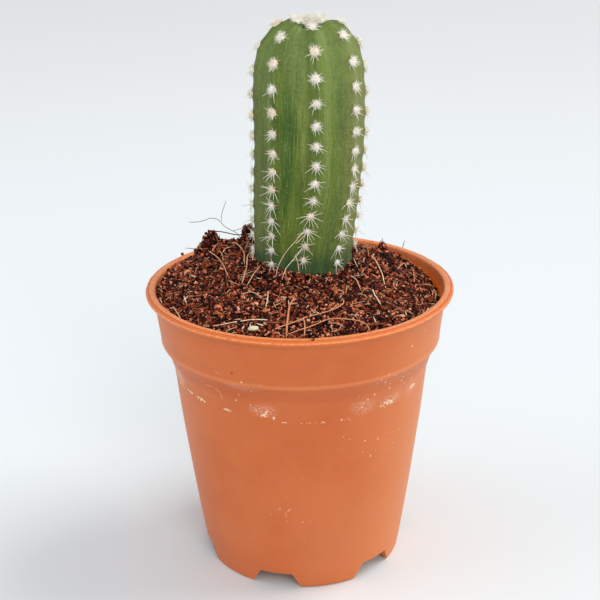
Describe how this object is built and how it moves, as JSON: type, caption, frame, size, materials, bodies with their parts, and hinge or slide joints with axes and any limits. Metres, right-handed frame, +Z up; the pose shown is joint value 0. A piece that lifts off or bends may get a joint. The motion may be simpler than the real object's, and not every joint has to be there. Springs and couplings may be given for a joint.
{
  "type": "potted column cactus",
  "caption": "Young ribbed column cactus with woolly spine cushions, standing in coir in a tapered plastic nursery pot with a rolled lip and a notched foot.",
  "frame": {"origin": "on the pot's axis, at the surface that the pot stands on", "axes": "+Z up along the pot's axis, -Y towards the front that the picture shows, +X to the right of that front"},
  "size_m": [0.08, 0.08, 0.1441],
  "materials": {
    "terracotta_plastic": "satin moulded",
    "coir": "crumbly matt",
    "cactus_skin": "waxy satin",
    "areole_wool": "felted wool",
    "spines": "smooth horn"
  },
  "bodies": {
    "root": {"pot": "terracotta_plastic", "soil": "coir", "cactus": "cactus_skin"}
  },
  "joints": []
}
